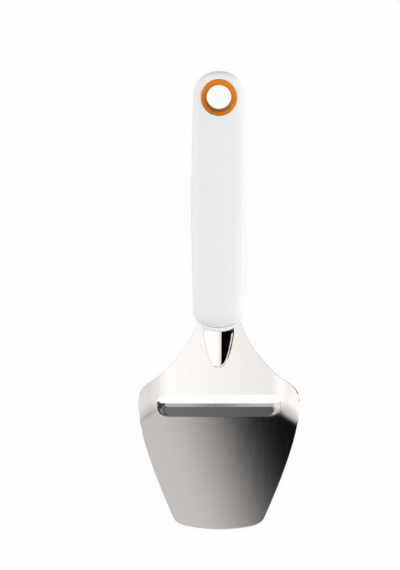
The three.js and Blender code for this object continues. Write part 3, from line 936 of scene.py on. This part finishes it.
def punch_tree():
    tree = new_tree("punch the lock holes", PUNCH_SIZES)
    given = tree.nodes.new("NodeGroupInput").outputs
    start = node(tree, "ShaderNodeCombineXYZ", 0.0, given["First hole"], given["Height"]).outputs[0]
    step = node(tree, "ShaderNodeCombineXYZ", 0.0, given["Step"], 0.0).outputs[0]
    line = node(tree, "GeometryNodeMeshLine", mode="OFFSET", count_mode="TOTAL")
    line.inputs["Count"].default_value = HOLES
    feed(tree, line.inputs["Start Location"], start)
    feed(tree, line.inputs["Offset"], step)
    punch = node(tree, "GeometryNodeMeshCylinder", PUNCH_SIDES)
    feed(tree, punch.inputs["Radius"], given["Radius"])
    feed(tree, punch.inputs["Depth"], given["Depth"])
    punches = node(tree, "GeometryNodeInstanceOnPoints", line.outputs[0])
    feed(tree, punches.inputs["Instance"], punch.outputs["Mesh"])
    real = node(tree, "GeometryNodeRealizeInstances", punches.outputs[0]).outputs[0]
    cut = node(tree, "GeometryNodeMeshBoolean", given["Geometry"], operation="DIFFERENCE", solver="EXACT")
    feed(tree, cut.inputs["Mesh 2"], real)
    end_tree(tree, cut.outputs[0])
    return tree


before_punch = len(blade.data.polygons)
run_tree(blade, punch_tree())
blade.data.transform(tool_place)
crisp(blade, degrees=35)
print("punched:", before_punch, "faces before,", len(blade.data.polygons), "after")

# %% [markdown]
# The grip is a soft white moulding with a fine matt grain, the collar at its front is smoother, and the
# ring is a satin orange. Each has a slightly uneven gloss, as moulded plastic has, and a grain of about the
# size that spark erosion leaves in a mould.

# %% Plastic finishes
EVEN = (1.0, 1.0, 1.0)
CLOUD_SCALE = 60
CLOUD_TONES = (0.35, 0.65)
CLOUD_GLOSS = (0.3, 0.7)
PLASTIC_BUMP = 0.35


def plastic_finish(name, light, dark, gloss, shine, grain_size, grain_depth):
    """Moulded plastic: two close tones, a range of roughness, and a grain of a size and depth in mm."""
    material, tree, shader = new_finish(name)
    clouds = stretched_noise(tree, EVEN, CLOUD_SCALE, detail=3)
    grain = stretched_noise(tree, EVEN, 1 / (grain_size * MM), detail=2)
    tone = remap(tree, clouds, *CLOUD_TONES, 0.0, 1.0)
    feed(tree, shader["Base Color"], mix(tree, "RGBA", tone, (*dark, 1.0), (*light, 1.0)))
    feed(tree, shader["Roughness"], remap(tree, clouds, *CLOUD_GLOSS, *gloss))
    shader["Specular IOR Level"].default_value = shine
    feed(tree, shader["Normal"], bump(tree, grain, PLASTIC_BUMP, grain_depth * MM))
    return material


soft_white = plastic_finish("soft white", light=(0.86, 0.86, 0.86), dark=(0.845, 0.845, 0.845),
                            gloss=(0.46, 0.56), shine=0.4, grain_size=0.35, grain_depth=0.02)
smooth_white = plastic_finish("smooth white", light=(0.89, 0.89, 0.885), dark=(0.875, 0.875, 0.87),
                              gloss=(0.28, 0.36), shine=0.5, grain_size=0.6, grain_depth=0.01)
orange = plastic_finish("satin orange", light=(0.79, 0.225, 0.008), dark=(0.76, 0.21, 0.007),
                        gloss=(0.36, 0.46), shine=0.15, grain_size=0.4, grain_depth=0.015)
print("finishes:", [finish.name for finish in (soft_white, smooth_white, orange)])

# %% [markdown]
# The handle is a row of rounded sections along its own axis, which leans back with the tang. Flat sections
# would give it square ends, so they bow: near both ends each one curves round in plan, and the first and
# the last are the handle's own rounded ends. The same function makes the outside, the smaller forms inside
# it, and the thin collar.

# %% Handle sections
HANDLE_FRONT = 95.9
GRIP_HALF = 13.35
GRIP_NARROWING = 1.1
GRIP_WIDEST = 61
GRIP_TAPER_RUN = 52.5
FRONT_BOW = 8.2
END_BOW = 12.3
END_POWER = 2.2
BOW_RUN = 48
SECTION_POWER = 3.2
SECTION_SIDES = 128
TOP_RISE = (8.7, 8.2, 5.6)
BELLY_DROP = (6.8, 9.2, 5.4)
BELLY_AT = 42
RING_AT = 113.1
COLLAR = 2.2
FRONT_RUN = 10
FRONT_FALL = 7.5
END_ROUND = 2.8
BOX_SPARE = 0.01

handle_height = math.tan(LEAN) * (HANDLE_FRONT - sum(BEND) / 2)
to_handle = Matrix.Translation((0, HANDLE_FRONT * MM, handle_height * MM))
handle_place = tool_place @ to_handle @ Matrix.Rotation(LEAN, 4, "X")
tool_length = (cad_high.y - cad_low.y) / MM
end_lean = (BELLY_DROP[2] - END_ROUND) * math.sin(LEAN)
handle_length = (tool_length - HANDLE_FRONT - end_lean) / math.cos(LEAN) - BOX_SPARE


def rounding(distance, radius):
    """How far an edge that is rounded by a radius has dropped at a distance from its end."""
    share = clamp(1 - distance / radius, 0, 1)
    return radius * (1 - math.sqrt(1 - share**2))


def depth(y, sizes, inset):
    """The handle's rise or drop from its axis, from its sizes at the front, at the belly and at the ring."""
    front, full, end = sizes
    rising = blend(front, full, ease(y, 0, BELLY_AT))
    whole = blend(rising, end, ease(y, BELLY_AT, RING_AT))
    nose = rounding(max(y, COLLAR), FRONT_RUN) * FRONT_FALL / FRONT_RUN
    return whole - inset - nose - rounding(handle_length - inset - y, END_ROUND)


def section(y, inset, shrink=0.0):
    """One bowed section. A shrink draws it in all round, for a rounded edge at a seam."""
    front = FRONT_BOW * clamp(1 - y / BOW_RUN, 0, 1)
    end = (END_BOW - inset) * clamp(1 - (handle_length - inset - y) / BOW_RUN, 0, 1)
    taper = (y + front - end - GRIP_WIDEST) / GRIP_TAPER_RUN
    half = GRIP_HALF - GRIP_NARROWING * taper**2 - inset - shrink
    rise = depth(y, TOP_RISE, inset) - shrink
    drop = depth(y, BELLY_DROP, inset) - shrink
    points = []
    for k in range(SECTION_SIDES):
        cosine = math.cos(2 * math.pi * k / SECTION_SIDES)
        sine = math.sin(2 * math.pi * k / SECTION_SIDES)
        across = math.copysign(abs(cosine) ** (2 / SECTION_POWER), cosine)
        up = math.copysign(abs(sine) ** (2 / SECTION_POWER), sine)
        front_bow = 1 - math.sqrt(max(1 - across**2, 0))
        end_bow = 1 - max(1 - abs(across) ** END_POWER, 0) ** (1 / END_POWER)
        points.append((half * across, y + front * front_bow - end * end_bow, up * (rise if up > 0 else drop)))
    return points


print("handle", round(handle_length, 2), "mm long, front", round(handle_height, 2), "mm above the spatula")

# %% [markdown]
# Neighbouring sections are joined by faces, and each end is closed by a strip from side to side. Stations
# crowd at the two rounded ends, and none comes too close to the first or the last.

# %% Lofting a form
FRONT_SHARES = (0.05, 0.1, 0.16, 0.23, 0.31, 0.4, 0.5, 0.62, 0.76, 0.9, 1.0)
END_SHARES = (1.0, 0.85, 0.7, 0.55, 0.4, 0.28, 0.18, 0.1, 0.04, 0.01)
BODY_STATIONS = 56
BODY_FROM_FRONT = 1.5
BODY_FROM_END = 4.0
FIRST_GAP = 0.02
LAST_GAP = 0.005


def stations(start, end):
    front = [share * FRONT_RUN for share in FRONT_SHARES]
    last = [end - share * END_ROUND for share in END_SHARES]
    body = list(np.linspace(FRONT_RUN + BODY_FROM_FRONT, handle_length - BODY_FROM_END, BODY_STATIONS))
    inside = [y for y in front + body + last if start + FIRST_GAP < y < end - LAST_GAP]
    return [start] + sorted(inside) + [end]


def loft(name, sections, material):
    sides = len(sections[0])
    points = [point for ring in sections for point in ring]
    faces = []
    for i in range(len(sections) - 1):
        for k in range(sides):
            a, b = i * sides + k, i * sides + (k + 1) % sides
            faces.append([a, a + sides, b + sides, b])
    for first, turn in ((0, False), (len(points) - sides, True)):
        for k in range(sides // 2):
            strip = [first + k, first + k + 1, first + sides - k - 1, first + (sides - k) % sides]
            strip = list(dict.fromkeys(strip))
            faces.append(strip[::-1] if turn else strip)
    made = mesh_object(name, [Vector(point) * MM for point in points], faces, material)
    made.data.transform(handle_place)
    return made


def grip_form(name, inset, start, end, material):
    return loft(name, [section(y, inset) for y in stations(start, end)], material)


print("sections of", SECTION_SIDES, "points")

# %% [markdown]
# The soft grip is a skin of 1.6 mm over the core. Its front edge is turned in a little at the seam, which
# draws the fine line that the photograph shows there. A form that is smaller all round hollows it, and a
# round cutter with a flared mouth opens it for the ring, so that the rim of the hole is soft.

# %% Soft grip
SKIN = 1.6
SEAM = 0.08
SEAM_ROUND = 0.2
SEAM_SHARES = (0.0, 0.08, 0.25, 0.5, 0.75)
RING_OUTER = 8.7
RING_PROUD = 0.14
RING_GAP = 0.05
TURN_STEPS = 128
HAIR = 0.001
FLARE = 0.45
FLARE_SINK = 0.1
FLARE_TURN = np.linspace(0.2, math.pi / 2, 6)
CUTTER_SPARE = 4
ring_top = depth(RING_AT, TOP_RISE, 0) + RING_PROUD
ring_bottom = -depth(RING_AT, BELLY_DROP, 0) - RING_PROUD
hole = RING_OUTER + RING_GAP


def turned(name, profile, material=None):
    """A solid of revolution round the ring's axis, from a closed profile of (radius, height)."""
    points, faces = [], []
    count = len(profile)
    for i in range(TURN_STEPS):
        angle = 2 * math.pi * i / TURN_STEPS
        points += [Vector((r * math.cos(angle), RING_AT + r * math.sin(angle), z)) * MM for r, z in profile]
    for i in range(TURN_STEPS):
        this, after = i * count, (i + 1) % TURN_STEPS * count
        for j in range(count):
            up = (j + 1) % count
            faces.append([this + j, after + j, after + up, this + up])
    made = mesh_object(name, points, faces, material)
    made.data.transform(handle_place)
    return made


def ring_cutter():
    """A round plug for the ring's hole, flared where it meets the surface."""
    mouth = hole + FLARE
    low_mouth, high_mouth = ring_bottom + FLARE_SINK, ring_top - FLARE_SINK
    low_end, high_end = ring_bottom - CUTTER_SPARE, ring_top + CUTTER_SPARE
    flare = [(hole + FLARE * (1 - math.sin(turn)), FLARE * (1 - math.cos(turn))) for turn in FLARE_TURN]
    profile = [(HAIR, low_end), (mouth, low_end), (mouth, low_mouth)]
    profile += [(radius, low_mouth + rise) for radius, rise in flare]
    profile += [(radius, high_mouth - rise) for radius, rise in reversed(flare)]
    profile += [(mouth, high_mouth), (mouth, high_end), (HAIR, high_end)]
    return turned("cutter", profile)


def skin_sections():
    start = COLLAR + SEAM
    edge = [start + share * SEAM_ROUND for share in SEAM_SHARES]
    rings = [section(y, 0, rounding(y - start, SEAM_ROUND)) for y in edge]
    return rings + [section(y, 0) for y in stations(start + SEAM_ROUND, handle_length)]


grip = loft("soft_grip_skin", skin_sections(), soft_white)
combine(grip, grip_form("void", SKIN, COLLAR / 2, handle_length - SKIN, soft_white), "DIFFERENCE")
combine(grip, ring_cutter(), "DIFFERENCE")
crisp(grip, degrees=40)
print("soft grip:", len(grip.data.polygons), "faces")

# %% [markdown]
# The rigid core fills the skin, and only its collar shows: a thin smooth rim at the handle's front. Core
# and collar are one moulding, so the two forms are joined, and the ring's hole goes through them.

# %% Core with its collar
CORE_GAP = 0.05
COLLAR_FRONT = 0.15
COLLAR_FALL = 0.5
COLLAR_SHARES = (0.0, 0.04, 0.1, 0.2, 0.35, 0.5, 0.7, 0.85, 0.95, 1.0)
PLUG_HALF = 30
core_inset = SKIN + CORE_GAP


def collar_sections():
    """The collar's rim is rounded in front, and its back edge is turned in at the seam."""
    run = COLLAR - COLLAR_FRONT
    made = []
    for share in COLLAR_SHARES:
        shrink = rounding((1 - share) * run, SEAM_ROUND) + rounding(share * run, run) * COLLAR_FALL
        made.append(section(COLLAR_FRONT + share * run, 0, shrink))
    return made


core = loft("collar_and_core", collar_sections(), smooth_white)
combine(core, grip_form("body", core_inset, COLLAR / 2, handle_length - core_inset, smooth_white), "UNION")
plug_profile = [(HAIR, -PLUG_HALF), (hole, -PLUG_HALF), (hole, PLUG_HALF), (HAIR, PLUG_HALF)]
combine(core, turned("cutter", plug_profile), "DIFFERENCE")
crisp(core, degrees=40)
print("core:", len(core.data.polygons), "faces")

# %% [markdown]
# The hanging ring is a short sleeve of orange plastic that lines the hole. It is turned from one profile:
# straight walls inside and outside, and rounded corners between them. Shade is painted into its orange, as
# the hole's wall and the ring's front left lie in shade: the colour darkens towards the hole, most of all
# there.

# %% Hanging ring
RING_INNER = 5.95
RING_ROUND = 0.7
QUARTER_TURN = np.linspace(0, math.pi / 2, 8)
# Painted shade near the hole: the side it falls on, its dark colour, where it is full and starts, its
# strengths.
PAINTED_SHADE_SIDE = (-0.5, -0.86, 0.0)
PAINTED_SHADE_COLOUR = (0.02, 0.01, 0.002, 1.0)
SHADE_FULL_AT = RING_INNER + 0.35
SHADE_START_AT = RING_INNER + 1.7
OUTER_SHADE = (0.0, 1.0, 0.0, 0.22)
INNER_SHADE = (-1.0, 1.0, 0.08, 0.75)
IN_PLAN = (1.0, 1.0, 0.0)


def ring_profile():
    inner, outer = RING_INNER + RING_ROUND, RING_OUTER - RING_ROUND
    low, high = ring_bottom + RING_ROUND, ring_top - RING_ROUND
    right = math.pi / 2
    corners = [(inner, low, 2 * right), (outer, low, 3 * right), (outer, high, 0), (inner, high, right)]
    return [(r + RING_ROUND * math.cos(start + turn), z + RING_ROUND * math.sin(start + turn))
            for r, z, start in corners for turn in QUARTER_TURN]


def paint_bore_shade(material):
    """Painted shade: darkens the orange towards the hole, and most on the ring's front left side."""
    tree = material.node_tree
    colour = tree.nodes["Principled BSDF"].inputs["Base Color"]
    lit = colour.links[0].from_socket
    middle = handle_place @ (Vector((0, RING_AT, ring_top)) * MM)
    place = node(tree, "ShaderNodeTexCoord").outputs["Object"]
    level = vector_calc(tree, "MULTIPLY", place, IN_PLAN)["Vector"]
    offset = vector_calc(tree, "SUBTRACT", level, (middle.x, middle.y, 0.0))["Vector"]
    radius = vector_calc(tree, "LENGTH", offset)["Value"]
    outward = vector_calc(tree, "NORMALIZE", offset)["Vector"]
    facing = vector_calc(tree, "DOT_PRODUCT", outward, PAINTED_SHADE_SIDE)["Value"]
    inwards = remap(tree, radius, SHADE_FULL_AT * MM, SHADE_START_AT * MM, 1.0, 0.0)
    dark = mix(tree, "FLOAT", inwards, remap(tree, facing, *OUTER_SHADE), remap(tree, facing, *INNER_SHADE))
    # Painted shade: the orange is mixed towards a dark brown.
    feed(tree, colour, mix(tree, "RGBA", dark, lit, PAINTED_SHADE_COLOUR))


paint_bore_shade(orange)
ring = turned("orange_ring", ring_profile(), orange)
print("ring:", len(ring.data.polygons), "faces, hole", 2 * RING_INNER, "mm across")

# %% [markdown]
# Each piece rides on the tool's one body and hides the solid that it stands for. The table also lists
# the record's material that each piece shows. The visual model must not be larger than the solids.

# %% Pieces on the tool's body
PIECES = (
    (blade, "blade", "stainless_steel"),
    (core, "handle_core", "white_rigid_plastic"),
    (grip, "soft_grip", "white_soft_plastic"),
    (ring, "hanging_ring", "orange_plastic"),
)
for piece, solid, material_slot in PIECES:
    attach(piece, "root")
    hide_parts(solid)
